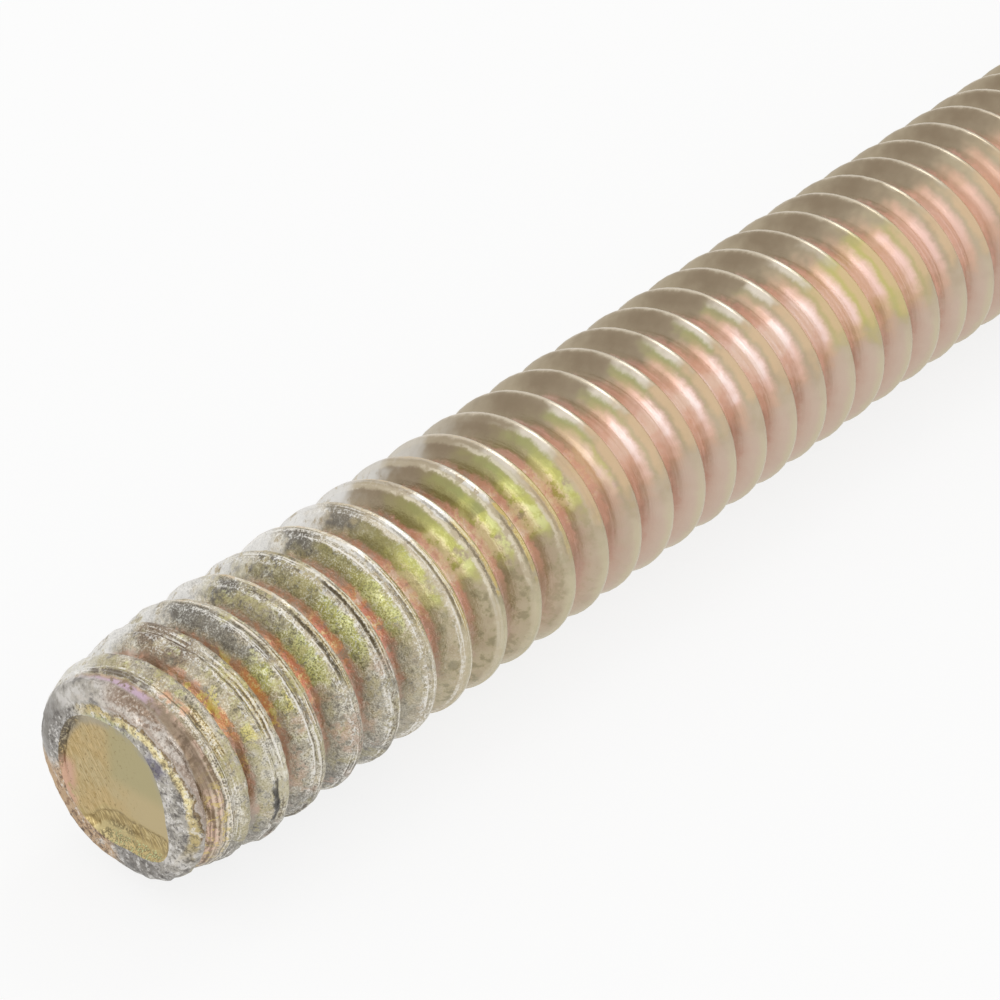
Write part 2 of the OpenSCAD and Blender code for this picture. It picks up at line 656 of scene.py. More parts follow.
@dataclass(frozen=True)
class YellowChromate(LayeredFinish):
    """Rolled steel, zinc plated and yellow chromated, which gives a patchy gold sheen.

    The chromate film is thick in the roots, where it turns orange-brown, and thin on the flanks,
    where it is khaki. On the side that faces the camera, painted highlights in the film's orange,
    in lime and, further along, in pink lie where the light falls; painted shade darkens the upper
    side and the valleys, and a painted reflection of the floor makes the lower side paler and
    pinker. Near the end the zinc has frosted grey, with dark pits.
    """

    thread: RolledThread
    base: str = "#B9AB90"
    roughness: float = 0.32
    frost_roughness: float = 0.55
    # The side that faces the camera, from which round is measured for the painted light and shade
    camera_side: float = math.radians(135)
    # Frost grains and pits are about 0.02 mm, drawn at 0.035 mm so that they show
    pattern_table = {
        "blotch": Pattern(0.9, 3.0, 0.55),
        "cloud": Pattern(0.3, 4.0, 0.66),
        "flake": Pattern(0.42, 5.0, 0.72),
        "grain": Pattern(0.035, 1.0, 0.6),
        "grit": Pattern(0.07, 2.5, 0.75),
        "drift": Pattern(0.5, 2.0, 0.6),
        "veil": Pattern(0.16, 3.5, 0.7),
    }
    coats: tuple[Coat, ...] = (
        Coat("#A8977D", (Band("blotch", 0.44, 0.58),), 0.6),
        Coat("#CBBEA0", (Band("from_end", 8.5, 5.5), Band("cloud", 0.36, 0.52)), 0.8),
        Coat("#A39C72", (Band("cloud", 0.46, 0.6), Band("from_end", 22, 9)), 0.5),
        Coat("#8A7F69", (Band("cloud", 0.5, 0.62), Band("apart", 12, 28),
                         Band("from_end", 4, 5), Band("from_end", 13, 8)), 0.6),
        Coat("#DCD3C4", (Band("across", 0.17, 0.25),), 0.9),
        # Painted shade above, darker, and a painted reflection of the floor below, paler and
        # pinker
        Coat("#9B8C77", (Band("round", -18, -44), Band("from_end", 5, 9)), 0.85),
        Coat("#84745F", (Band("round", -28, -58), Band("round", -104, -66),
                         Band("across", -0.4, -0.2), Band("across", 0.06, -0.1),
                         Band("from_end", 5, 9)), 0.75),
        # Paler towards the top edge, near and far: painted reflection of the bright surround
        Coat("#D0CABC", (Band("round", -60, -92), Band("round", -150, -118),
                         Band("from_end", 5, 8),
                         Band("from_end", 13, 9)), 0.8),
        Coat("#B5A88F", (Band("round", -56, -96), Band("from_end", 9, 13)), 0.75),
        Coat("#CDB6A6", (Band("round", 12, 44), Band("from_end", 9, 14)), 0.85),
        Coat("#C29C8C", (Band("round", 10, 30), Band("across", -0.14, -0.42),
                         Band("from_end", 7, 12)), 0.7),
        Coat("#CBC3A4", (Band("round", 16, 50), Band("across", -0.16, 0.0),
                         Band("from_end", 4, 9)), 0.7),
        Coat("#D3C7B2", (Band("across", -0.04, 0.05), Band("round", -10, -30),
                         Band("from_end", 7, 10)), 0.8),
        # Film in the roots, with painted shade in brown and painted light in orange and pale
        # yellow where the light falls in
        Coat("#BDA595", (*GROOVE, Band("apart", 88, 60)), 0.9),
        Coat("#BC8E7C", (Band("across", -0.3, -0.4), Band("round", -66, -30),
                         Band("from_end", 8, 13)), 0.8),
        Coat("#E8A87C", (*GROOVE, *LIT, Band("cloud", 0.38, 0.48), Band("from_end", 12, 8)),
             0.95),
        Coat("#E59480", (*GROOVE, Band("apart", 48, 20), Band("flake", 0.5, 0.56),
                         Band("from_end", 10, 7)), 0.75),
        Coat("#E9B6A4", (*GROOVE, Band("apart", 44, 20), Band("from_end", 5, 8)), 0.8),
        Coat("#F6E2AC", (*GROOVE, *LIT, Band("grit", 0.5, 0.57), Band("cloud", 0.44, 0.54)),
             0.75),
        Coat("#F4DCD2", (*GROOVE, *LIT, Band("cloud", 0.52, 0.6), Band("from_end", 4.5, 6)),
             0.8),
        Coat("#CD967A", (Band("across", -0.3, -0.4), Band("veil", 0.4, 0.56),
                         Band("round", -72, -56), Band("round", -6, -18),
                         Band("from_end", 12, 8), BEHIND_RIM), 0.65),
        Coat("#C4917C", (Band("across", -0.3, -0.39), Band("veil", 0.42, 0.56),
                         Band("round", 8, 20), Band("round", 60, 44),
                         Band("from_end", 9, 6), BEHIND_RIM), 0.6),
        # Thin film, with painted highlights in lime patches where the light falls on the side that
        # faces the camera, and darker olive above them as painted shade
        Coat("#938D58", (*FLANK, Band("round", -58, -32), Band("round", -4, -16),
                         Band("from_end", 2.6, 4.2), Band("from_end", 13, 9)), 0.8),
        Coat("#A0A26A", (Band("across", -0.28, -0.2), Band("across", -0.02, -0.1),
                         Band("round", -44, -28), Band("round", -6, -18),
                         Band("from_end", 7, 9), Band("from_end", 20, 16)), 0.75),
        Coat("#BDBC6C", (*FLANK, Band("round", -26, -8), Band("round", 22, 8),
                         Band("drift", 0.34, 0.46), Band("from_end", 1.6, 2.8),
                         Band("from_end", 14.5, 11)), 0.9),
        Coat("#DFE09C", (*FLANK, Band("round", -18, -6), Band("round", 18, 4),
                         Band("cloud", 0.42, 0.58), Band("from_end", 1.8, 3.6),
                         Band("from_end", 13, 10)), 0.8),
        Coat("#F7F7D7", (*FLANK, *LIT, Band("grit", 0.54, 0.64), Band("from_end", 1.8, 3.0),
                         Band("from_end", 7, 5)), 0.6),
        Coat("#8C8853", (*FLANK, *LIT, Band("grit", 0.46, 0.38), Band("from_end", 1.8, 3.0),
                         Band("from_end", 7, 5)), 0.6),
        Coat("#BDBB66", (Band("across", -0.42, -0.3), Band("round", -30, -12),
                         Band("round", 34, 14), Band("from_end", 18.6, 20.8),
                         Band("from_end", 23.8, 22.0)), 0.85),
        Coat("#F1E58B", (Band("flake", 0.52, 0.58), Band("apart", 44, 24),
                         Band("from_end", 0.9, 1.2), Band("from_end", 3.6, 2.6)), 0.75),
        # Further along on the same side, painted highlights in the film's peach, and pink where
        # the light falls in
        Coat("#E3B49C", (Band("across", -0.1, -0.28), Band("apart", 40, 16),
                         Band("from_end", 10.5, 13.5)), 0.75),
        Coat("#F6D2C8", (Band("across", -0.1, -0.26), Band("apart", 26, 6),
                         Band("from_end", 11.0, 13.2), Band("from_end", 29, 22)), 0.9),
        Coat("#FFEFEA", (Band("across", -0.16, -0.26), Band("apart", 16, 2),
                         Band("from_end", 11.6, 13.6), Band("from_end", 22, 18)), 0.8),
        Coat("#F5DFC0", (Band("across", -0.2, -0.3), Band("apart", 20, 4),
                         Band("cloud", 0.38, 0.5), Band("from_end", 5.5, 7.5),
                         Band("from_end", 12.5, 11)), 0.7),
        Coat("#DDBE9A", (Band("across", -0.16, -0.04), Band("round", -24, -6),
                         Band("round", 30, 10), Band("from_end", 8.5, 12)), 0.75),
        # Crests, worn paler, with painted highlight lines along them and a painted gold highlight
        # on the side that faces the camera
        Coat("#CDC0A6", (Band("across", -0.16, -0.1), Band("across", 0.02, -0.05), BEHIND_RIM,
                         Band("from_end", 12, 8)), 0.6),
        Coat("#E6DCC6", (Band("across", -0.13, -0.1), Band("across", -0.05, -0.08),
                         Band("cloud", 0.42, 0.5), Band("round", -60, -36),
                         Band("round", 34, 18), BEHIND_RIM, Band("from_end", 12, 9)), 0.75),
        Coat("#CDB572", (*RIDGE, Band("round", -32, -16), Band("round", 34, 20),
                         Band("cloud", 0.38, 0.46), Band("from_end", 12, 9)), 0.9),
        Coat("#EFE2AE", (*RIDGE, Band("round", -30, -16), Band("round", 30, 16),
                         Band("strand", 0.5, 0.56), Band("from_end", 12, 9)), 0.8),
        Coat("#7B6538", (*RIDGE, Band("round", -30, -16), Band("round", 30, 16),
                         Band("strand", 0.47, 0.42), Band("from_end", 8, 6)), 0.75),
        Coat("#E3D9C3", (Band("across", 0.0, 0.05), Band("across", 0.2, 0.15), BEHIND_RIM,
                         Band("strand", 0.42, 0.54), Band("from_end", 9, 7)), 0.75),
        # Frosted zinc, with painted shade above in slate grey, dark grey and brown, and a painted
        # reflection of the floor below, paler
        Coat("#C4BDAC", (*FROSTED, BELOW), 0.85),
        Coat("#E6E0D0", (*FROSTED, BELOW, Band("cloud", 0.5, 0.58)), 0.75),
        Coat("#948C7D", (*FROSTED, BELOW, Band("cloud", 0.47, 0.4)), 0.7),
        Coat("#B8AE9C", (*FROSTED, Band("round", -6, -24), Band("from_end", 5, 3)), 0.8),
        Coat("#E6E1D2", (Band("across", -0.34, -0.26), Band("from_end", 1.2, 1.5),
                         Band("from_end", 2.6, 2.3), Band("round", 16, 28),
                         Band("drift", 0.4, 0.5)), 0.7),
        Coat("#686562", (Band("across", -0.34, -0.26), Band("across", 0.04, -0.04),
                         Band("round", -72, -64), Band("round", -38, -50),
                         Band("drift", 0.36, 0.46), Band("from_end", 1.9, 2.4),
                         Band("from_end", 8.0, 6.4)), 0.8),
        Coat("#858077", (Band("across", -0.36, -0.28), Band("across", 0.04, -0.04),
                         Band("round", -70, -60), Band("round", -6, -18),
                         Band("drift", 0.36, 0.46), Band("from_end", 2.0, 2.3),
                         Band("from_end", 3.7, 3.2)), 0.8),
        Coat("#88725E", (Band("round", -68, -58), Band("round", -22, -34),
                         Band("drift", 0.4, 0.5), Band("from_end", 0.8, 1.0),
                         Band("from_end", 2.3, 2.0)), 0.75),
        Coat("#9B9791", (Band("round", 56, 78), Band("from_end", 7, 5)), 0.75),
        # Paler towards the top edge over the frost: painted reflection of the bright surround
        Coat("#DCDBD9", (Band("round", -66, -80), Band("round", -150, -118),
                         Band("cloud", 0.36, 0.46),
                         Band("from_end", 12, 7)), 0.8),
        # Fine pits and grains all over the first turns, in clouds
        Coat("#625D53", (Band("grain", 0.52, 0.38), Band("cloud", 0.42, 0.56),
                         Band("across", -0.4, -0.32), Band("from_end", 8, 4.5)), 0.6),
        Coat("#F7F7EC", (Band("grain", 0.48, 0.64), Band("cloud", 0.58, 0.44),
                         Band("across", -0.4, -0.32), Band("from_end", 8, 4.5)), 0.42),
        Coat("#F1F0E8", (Band("veil", 0.5, 0.68), Band("grain", 0.36, 0.6),
                         Band("across", -0.4, -0.3), Band("from_end", 8, 4.5)), 0.42),
        Coat("#676157", (Band("veil", 0.5, 0.34), Band("flake", 0.4, 0.52),
                         Band("across", -0.4, -0.3), Band("from_end", 8, 4.5)), 0.52),
        Coat("#D8D590", (Band("veil", 0.52, 0.62), Band("blotch", 0.44, 0.52),
                         Band("round", -70, -50), Band("round", 40, 20),
                         Band("across", -0.36, -0.28), Band("from_end", 5, 3.4)), 0.5),
        Coat("#47423B", (Band("grit", 0.57, 0.64), Band("flake", 0.46, 0.56),
                         Band("across", -0.4, -0.32), Band("from_end", 8, 5)), 0.7),
        # Broken lines along the crests, and olive and pinkish patches of film
        Coat("#B3A878", (Band("blotch", 0.5, 0.58), Band("veil", 0.42, 0.52),
                         Band("across", -0.38, -0.3), Band("from_end", 7, 4.5)), 0.5),
        Coat("#C9A792", (Band("blotch", 0.47, 0.4), Band("veil", 0.42, 0.52),
                         Band("round", 10, 26), Band("from_end", 1.5, 2.5),
                         Band("from_end", 7, 4.5)), 0.45),
        Coat("#F2EEE6", (Band("across", -0.17, -0.1), Band("across", 0.16, 0.1), BEHIND_RIM,
                         Band("strand", 0.52, 0.6), Band("cloud", 0.4, 0.5),
                         Band("from_end", 9, 6)), 0.8),
        Coat("#6B6052", (Band("across", -0.12, -0.06), Band("across", 0.12, 0.06), BEHIND_RIM,
                         Band("strand", 0.44, 0.38), Band("cloud", 0.42, 0.5),
                         Band("from_end", 7, 5)), 0.7),
        Coat("#CDB48C", (Band("across", 0.02, 0.06), Band("across", 0.14, 0.1),
                         Band("from_end", 2.0, 3.0),
                         Band("strand", 0.46, 0.52), Band("cloud", 0.46, 0.52),
                         Band("round", -82, -64), Band("round", -20, -34),
                         Band("from_end", 12, 9)), 0.65),
        Coat("#F6F4EF", (Band("across", -0.18, -0.12), Band("across", 0.0, -0.06), BEHIND_RIM,
                         Band("grit", 0.53, 0.58), Band("from_end", 8, 6)), 0.5),
        # Paler towards the top edge: painted reflection of the bright surround
        Coat("#EFEDE9", (Band("round", -58, -84), Band("round", -150, -118),
                         Band("cloud", 0.34, 0.5),
                         Band("from_end", 9, 6)), 0.65),
        # Painted white highlights along the crests above the side that faces the camera
        Coat("#E9E6E0", (Band("across", -0.08, -0.02), Band("across", 0.13, 0.07),
                         Band("round", -42, -32), Band("round", -12, -20),
                         Band("cloud", 0.38, 0.46), Band("from_end", 4.2, 5.4),
                         Band("from_end", 11, 9)), 0.85),
        Coat("#E4DACB", (Band("across", -0.14, -0.04), Band("across", 0.1, 0.02),
                         Band("round", -42, -28), Band("round", -12, -22),
                         Band("from_end", 9, 11), Band("from_end", 22, 19)), 0.85),
        # Pits and a peach patch on the first turns
        Coat("#3B3936", (Band("across", -0.16, -0.11), Band("across", 0.01, -0.04),
                         Band("round", 46, 51), Band("round", 66, 60),
                         Band("from_end", 1.6, 1.7), Band("from_end", 2.7, 2.6)), 0.9),
        Coat("#EEBF9C", (Band("across", -0.14, -0.06), Band("across", 0.14, 0.06),
                         Band("round", -28, -18), Band("round", -2, -10),
                         Band("cloud", 0.4, 0.5), Band("from_end", 1.5, 1.3), BEHIND_RIM), 0.75),
        Coat("#695C4D", (Band("across", -0.16, -0.11), Band("across", 0.0, -0.06),
                         Band("cloud", 0.4, 0.5), Band("round", -72, -62),
                         Band("round", -28, -40), Band("from_end", 1.0, 0.8), BEHIND_RIM), 0.8),
        # The film pools brown behind the rim, with painted shade in the valley there, and violet
        # above
        Coat("#B29D86", (Band("across", -0.12, -0.2), Band("from_end", 0.8, 0.6), BEHIND_RIM),
             0.8),
        Coat("#8D7860", (Band("across", -0.12, -0.2), Band("from_end", 0.8, 0.6), BEHIND_RIM,
                         Band("cloud", 0.48, 0.56)), 0.8),
        Coat("#E4C5B2", (Band("across", -0.12, -0.2), Band("from_end", 0.8, 0.6), BEHIND_RIM,
                         Band("flake", 0.52, 0.58)), 0.8),
        Coat("#6A5540", (Band("across", 0.0, -0.1), Band("from_end", 1.1, 0.8), BEHIND_RIM,
                         Band("strand", 0.47, 0.42), Band("round", -20, 10)), 0.55),
        Coat("#F5E5CE", (Band("across", 0.0, -0.1), Band("from_end", 1.1, 0.8), BEHIND_RIM,
                         Band("strand", 0.54, 0.6), Band("round", -20, 10)), 0.5),
        Coat("#E0C978", (Band("across", -0.04, -0.12), Band("from_end", 1.0, 0.8), BEHIND_RIM,
                         Band("veil", 0.54, 0.6), Band("round", 10, 30)), 0.55),
        # Painted shade: a darker brown line in the valley just behind the rim
        Coat("#94826E", (Band("from_end", 0.2, 0.28), Band("from_end", 0.66, 0.46),
                         Band("across", -0.16, -0.26), Band("round", -64, -40),
                         Band("round", 44, 20)), 0.8),
        Coat("#6F5D4B", (Band("from_end", 0.2, 0.28), Band("from_end", 0.6, 0.46),
                         Band("across", -0.2, -0.3), Band("round", -60, -40),
                         Band("round", 30, 10), Band("cloud", 0.44, 0.56)), 0.7),
        Coat("#D6BCCF", (Band("across", -0.38, -0.3), Band("across", -0.17, -0.25),
                         Band("from_end", 0.2, 0.28), Band("from_end", 0.62, 0.5),
                         Band("round", -86, -62), Band("round", -12, -30),
                         Band("veil", 0.36, 0.5)), 0.8),
        # The rim is frosted, with a worn gold ledge that winds outwards from the face
        Coat("#AFAAA2", (ON_RIM,), 0.9),
        Coat("#DAD6D1", (ON_RIM, Band("cloud", 0.48, 0.58)), 0.75),
        Coat("#7C7874", (ON_RIM, Band("cloud", 0.46, 0.38)), 0.7),
        # Painted shade on the rim's sides away from the camera
        Coat("#75716D", (ON_RIM, Band("apart", 84, 104), Band("apart", 146, 126)), 0.65),
        # Painted shade, taupe, where the rim falls away behind
        Coat("#A79383", (ON_RIM, Band("ledge", 0.2, 0.28), Band("round", -64, -40),
                         Band("round", 64, 44)), 0.85),
        Coat("#CEC7BE", (ON_RIM, Band("ledge", 0.26, 0.3), Band("ledge", 0.44, 0.36),
                         Band("round", -84, -60), Band("round", 18, 0),
                         Band("veil", 0.4, 0.5)), 0.8),
        # Painted shade, brown, in the valley behind the rim
        Coat("#8B7663", (ON_RIM, Band("ledge", 0.36, 0.46), Band("round", -50, -30),
                         Band("round", 74, 54), Band("cloud", 0.38, 0.54)), 0.7),
        Coat("#CDB97F", (ON_RIM, Band("ledge", -0.04, 0.05), Band("ledge", 0.22, 0.14),
                         Band("round", -80, -60), Band("round", 84, 60)), 0.8),
        Coat("#F0E4B4", (ON_RIM, Band("ledge", -0.02, 0.05), Band("ledge", 0.18, 0.12),
                         Band("round", -50, -20), Band("round", 50, 24),
                         Band("veil", 0.42, 0.52)), 0.8),
        Coat("#BDBE86", (ON_RIM, Band("ledge", 0.1, 0.0), Band("round", -76, -56),
                         Band("round", -16, -36), Band("cloud", 0.4, 0.52)), 0.6),
        Coat("#80673F", (ON_RIM, Band("ledge", 0.16, 0.19), Band("ledge", 0.24, 0.21),
                         Band("round", -50, -34), Band("round", 70, 50)), 0.85),
        Coat("#6B5A4A", (ON_RIM, Band("ledge", 0.22, 0.3), Band("grit", 0.46, 0.38),
                         Band("round", -70, -50), Band("round", 74, 54)), 0.5),
        Coat("#E3DBD0", (ON_RIM, Band("ledge", 0.22, 0.3), Band("grit", 0.53, 0.61),
                         Band("round", -70, -50), Band("round", 74, 54)), 0.45),
        Coat("#C7A883", (ON_RIM, Band("apart", 134, 150)), 0.85),
        Coat("#93755D", (ON_RIM, Band("apart", 134, 150), Band("veil", 0.48, 0.42)), 0.8),
        Coat("#534D48", (ON_RIM, Band("ledge", 0.26, 0.18), Band("veil", 0.46, 0.36)), 0.55),
        Coat("#F1EEE9", (ON_RIM, Band("ledge", 0.26, 0.18), Band("veil", 0.52, 0.64)), 0.6),
        Coat("#534D48", (ON_RIM, Band("ledge", 0.26, 0.18), Band("grit", 0.55, 0.62)), 0.6),
        Coat("#565069", (ON_RIM, Band("ledge", -0.02, -0.08), Band("round", -8, 2),
                         Band("round", 20, 8), Band("cloud", 0.36, 0.46)), 0.7),
        # The seam is painted darker on the side that faces the camera, and in broken lines further
        # along
        Coat("#44371F", (Band("line", -0.055, -0.03), Band("line", 0.02, -0.01),
                         Band("veil", 0.4, 0.48), Band("round", -30, -14),
                         Band("round", 26, 12), Band("from_end", 3.2, 3.7),
                         Band("from_end", 5.8, 5.2)), 0.85),
        Coat("#54472F", (Band("line", -0.04, -0.025), Band("line", 0.01, -0.005),
                         Band("beat", 0.4, 0.5), Band("apart", 32, 18),
                         Band("from_end", 12, 8), BEHIND_RIM), 0.6),
    )

    def material(self) -> bpy.types.Material:
        """Build the material.

        Returns:
            The material, which reads Object coordinates only.
        """
        made = bpy.data.materials.new("yellow_chromated_zinc_steel")
        made.use_nodes = True
        sheet = NodeSheet(made.node_tree)
        measures = self.measures(sheet)
        frosted = self.mask(sheet, measures, FROSTED)
        gloss = sheet.add(
            "ShaderNodeMapRange",
            {"Value": frosted, "To Min": self.roughness, "To Max": self.frost_roughness},
        ).outputs[0]
        metal = sheet.add(
            "ShaderNodeMapRange", {"Value": frosted, "To Min": 1.0, "To Max": 0.7}
        ).outputs[0]
        surface = sheet.add(
            "ShaderNodeBsdfPrincipled",
            {
                "Base Color": self.paint(sheet, measures, self.base, self.coats),
                "Metallic": metal,
                "Roughness": gloss,
                "Normal": self.relief(sheet, measures),
            },
        )
        sheet.add("ShaderNodeOutputMaterial", {"Surface": surface.outputs[0]})
        return made

    def measures(self, sheet: NodeSheet) -> dict[str, bpy.types.NodeSocket]:
        """Measure where a point lies on the thread.

        Args:
            sheet: the material's nodes.

        Returns:
            The distance from the shown end, the angle round the axis, the distance across the
            thread, the seam, rolling-line and rim measures and the patterns, by name.
        """
        place = sheet.add("ShaderNodeTexCoord").outputs["Object"]
        # Patterns are drawn in millimetres
        point = sheet.add(
            "ShaderNodeVectorMath", {0: place, "Scale": 1 / MM}, operation="SCALE"
        ).outputs["Vector"]
        axes = sheet.add("ShaderNodeSeparateXYZ", {0: point}).outputs
        angle = sheet.add(
            "ShaderNodeMath", {0: axes["Z"], 1: axes["Y"]}, operation="ARCTAN2"
        ).outputs[0]
        from_end = sheet.add(
            "ShaderNodeMath", {0: axes["X"], 1: self.thread.length / 2}, operation="ADD"
        ).outputs[0]
        pitches = sheet.add(
            "ShaderNodeMath", {0: from_end, 1: self.thread.pitch}, operation="DIVIDE"
        ).outputs[0]
        lead = sheet.add(
            "ShaderNodeMath",
            {0: angle, 1: -1 / math.tau, 2: self.thread.start_angle / math.tau},
            operation="MULTIPLY_ADD",
        ).outputs[0]
        turns = sheet.add("ShaderNodeMath", {0: pitches, 1: lead}, operation="ADD").outputs[0]
        nearest = sheet.add("ShaderNodeMath", {0: turns}, operation="ROUND").outputs[0]
        line = sheet.add(
            "ShaderNodeMath", {0: turns, 1: nearest}, operation="SUBTRACT"
        ).outputs[0]
        turn = sheet.add(
            "ShaderNodeMath", {0: pitches, 1: line}, operation="SUBTRACT"
        ).outputs[0]
        turned = sheet.add(
            "ShaderNodeMath", {0: angle, 1: self.camera_side}, operation="SUBTRACT"
        ).outputs[0]
        wrapped = sheet.add(
            "ShaderNodeMath", {0: turned, 1: math.pi, 2: -math.pi}, operation="WRAP"
        ).outputs[0]
        degrees = sheet.add("ShaderNodeMath", {0: wrapped}, operation="DEGREES").outputs[0]
        patterns = self.patterns(sheet, point, self.pattern_table)
        # Edges of the film wander by about 0.05 mm across the thread and 0.3 mm round it
        across = self.wander(sheet, line, patterns["flake"], 0.2)
        around = self.wander(sheet, degrees, patterns["drift"], 30.0)
        apart = sheet.add("ShaderNodeMath", {0: around}, operation="ABSOLUTE").outputs[0]
        # The seam opens and closes every few tenths of a turn, which is about 15 mm round
        beat = sheet.add(
            "ShaderNodeTexNoise",
            {"W": turn, "Scale": 7.0, "Detail": 4.0},
            noise_dimensions="1D",
        ).outputs[0]
        # Rolling lines are about 0.04 mm apart across the thread and several mm long
        lines = sheet.add(
            "ShaderNodeCombineXYZ", {"X": turn, "Y": line, "Z": 0.0}
        ).outputs[0]
        stretched = sheet.add(
            "ShaderNodeMapping", {"Vector": lines, "Scale": (4.0, 26.0, 1.0)}
        ).outputs[0]
        rolled = sheet.add(
            "ShaderNodeTexNoise", {"Vector": stretched, "Scale": 1.0, "Detail": 3.0}
        ).outputs[0]
        strand = self.wander(sheet, rolled, patterns["grit"], 0.35)
        # How far outside the gold ledge of the rim, which winds outwards below
        flat = sheet.add(
            "ShaderNodeVectorMath", {0: point, 1: (0.0, 1.0, 1.0)}, operation="MULTIPLY"
        ).outputs["Vector"]
        reach = sheet.add(
            "ShaderNodeVectorMath", {0: flat}, operation="LENGTH"
        ).outputs["Value"]
        spiral = sheet.add(
            "ShaderNodeMapRange",
            {"Value": degrees, "From Min": -40.0, "From Max": 50.0, "To Min": 1.44,
             "To Max": 1.82},
        ).outputs[0]
        ledge = sheet.add("ShaderNodeMath", {0: reach, 1: spiral}, operation="SUBTRACT").outputs[0]
        return {
            "from_end": from_end, "across": across, "round": around, "apart": apart,
            "line": self.wander(sheet, line, patterns["grit"], 0.08),
            "ledge": self.wander(sheet, ledge, patterns["cloud"], 0.3),
            "beat": beat, "rolled": rolled, "strand": strand, **patterns,
        }

    def wander(
        self,
        sheet: NodeSheet,
        measure: bpy.types.NodeSocket,
        pattern: bpy.types.NodeSocket,
        reach: float,
    ) -> bpy.types.NodeSocket:
        """Let a measure wander with a pattern, so that the edges drawn by it are ragged.

        Args:
            sheet: the material's nodes.
            measure: the true measure.
            pattern: the pattern, whose middle value is 0.5.
            reach: how much the measure changes from the pattern's 0 to its 1.

        Returns:
            The measure with ragged edges.
        """
        raised = sheet.add(
            "ShaderNodeMath", {0: pattern, 1: reach, 2: measure}, operation="MULTIPLY_ADD"
        ).outputs[0]
        return sheet.add(
            "ShaderNodeMath", {0: raised, 1: reach / 2}, operation="SUBTRACT"
        ).outputs[0]

    def relief(
        self, sheet: NodeSheet, measures: dict[str, bpy.types.NodeSocket]
    ) -> bpy.types.NodeSocket:
        """Give the surface its fine grain and the lines that the rolling dies left.

        Args:
            sheet: the material's nodes.
            measures: where a point lies, by name.

        Returns:
            The bumped normal.
        """
        near = self.mask(sheet, measures, (Band("from_end", 13, 4),))
        strength = sheet.add(
            "ShaderNodeMapRange", {"Value": near, "To Min": 0.12, "To Max": 0.8}
        ).outputs[0]
        first = sheet.add(
            "ShaderNodeBump",
            {"Strength": 0.4, "Distance": 0.014 * MM, "Height": measures["rolled"]},
        ).outputs[0]
        second = sheet.add(
            "ShaderNodeBump",
            {"Strength": strength, "Distance": 0.05 * MM, "Height": measures["flake"],
             "Normal": first},
        ).outputs[0]
        return sheet.add(
            "ShaderNodeBump",
            {"Strength": strength, "Distance": 0.014 * MM, "Height": measures["grit"],
             "Normal": second},
        ).outputs[0]


